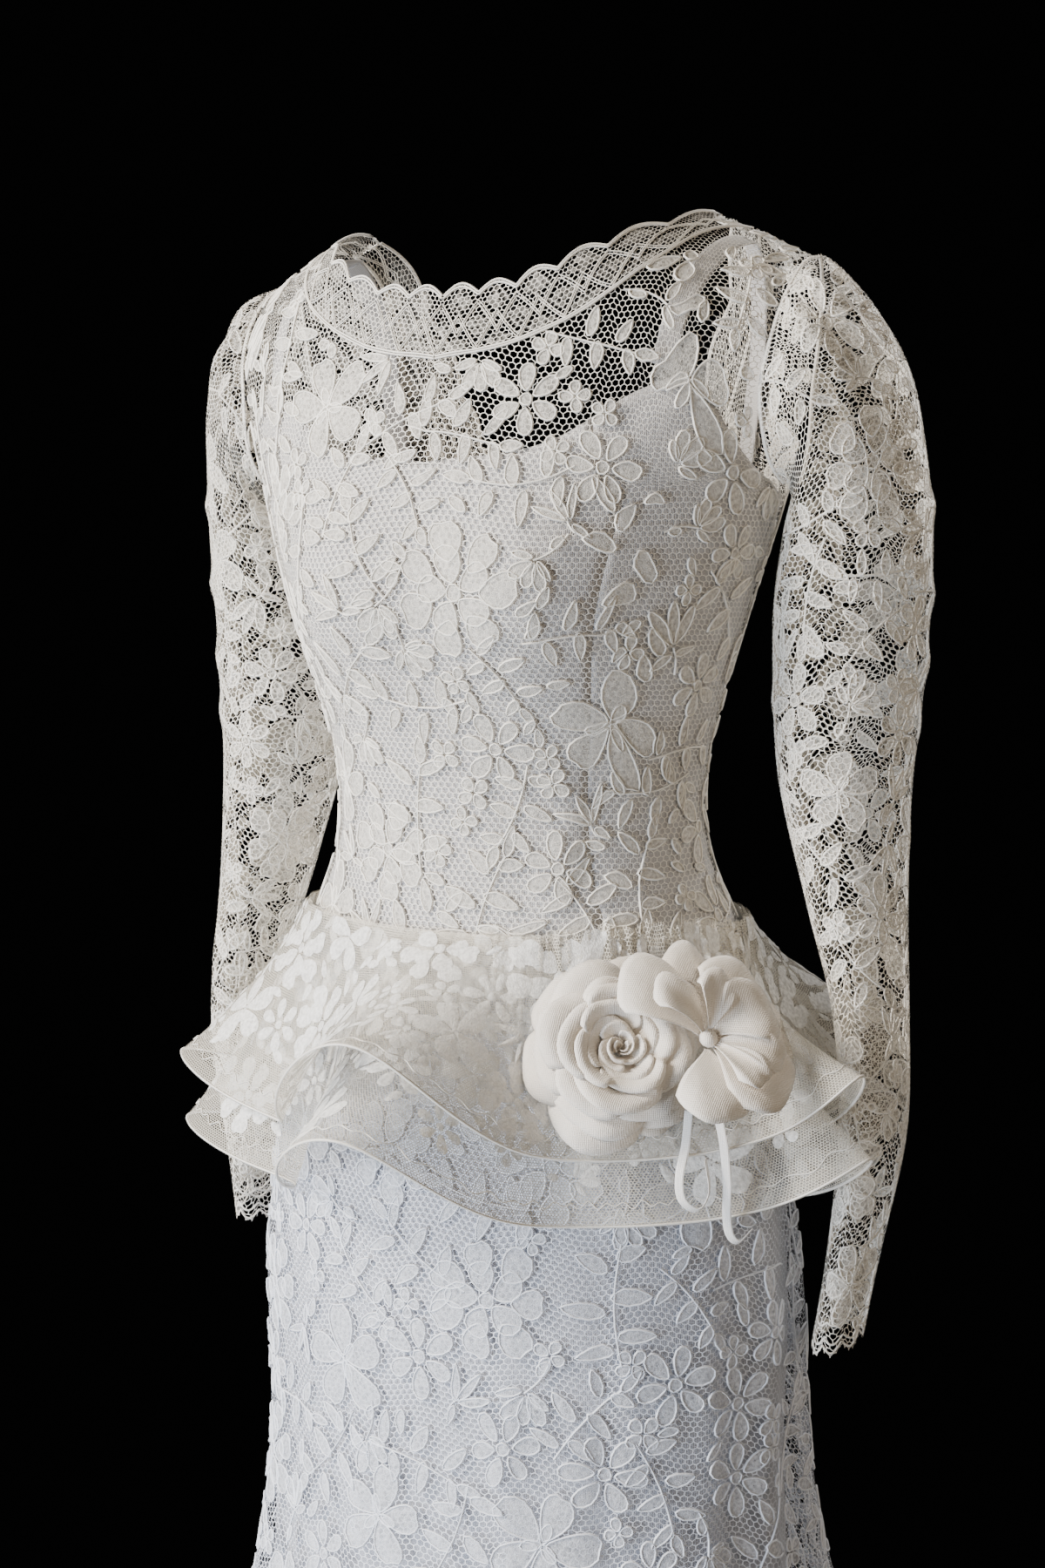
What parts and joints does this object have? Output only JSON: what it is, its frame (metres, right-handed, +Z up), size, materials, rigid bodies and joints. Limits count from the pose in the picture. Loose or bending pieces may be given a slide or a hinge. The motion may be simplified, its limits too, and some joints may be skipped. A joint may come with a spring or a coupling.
{
  "type": "wedding dress",
  "caption": "Floor-length lace wedding dress with long sleeves, scalloped neck, fluted peplum tiers and fabric roses at the waist, filled out with no wearer.",
  "frame": {"origin": "middle of the shoulder line, at the top of the neck edging where a wearer's shoulders hold the dress", "axes": "+Z up, the front faces -Y, the wearer's left is +X"},
  "size_m": [0.8311, 0.8588, 1.4186],
  "materials": {
    "corded_lace": "cream corded floral lace on an even net",
    "satin": "white satin lining",
    "peplum_lace": "fine floral lace edged with a rolled organza band",
    "rose_petals": "soft cream satin petals",
    "ribbon_satin": "narrow white satin ribbon"
  },
  "bodies": {
    "root": {"button": "rose_petals", "edging_back_left": "corded_lace", "edging_back_right": "corded_lace", "edging_front_left": "corded_lace", "edging_front_right": "corded_lace", "flower_inner": "rose_petals", "flower_outer": "rose_petals", "lace_back_left": "corded_lace", "lace_back_right": "corded_lace", "lace_front": "corded_lace", "lining_back": "satin", "lining_front_centre": "satin", "lining_front_side_left": "satin", "lining_front_side_right": "satin", "peplum_lower_back": "peplum_lace", "peplum_lower_front": "peplum_lace", "peplum_upper_back": "peplum_lace", "peplum_upper_front": "peplum_lace", "ribbon_loop": "ribbon_satin", "ribbon_tail": "ribbon_satin", "rose_bud": "rose_petals", "rose_inner": "rose_petals", "rose_middle": "rose_petals", "rose_outer": "rose_petals", "skirt_lace_back": "corded_lace", "skirt_lace_front": "corded_lace", "skirt_lining_back": "satin", "skirt_lining_front": "satin", "sleeve_under_left": "corded_lace", "sleeve_under_right": "corded_lace", "sleeve_upper_left": "corded_lace", "sleeve_upper_right": "corded_lace", "strap_left": "satin", "strap_right": "satin"}
  },
  "joints": []
}
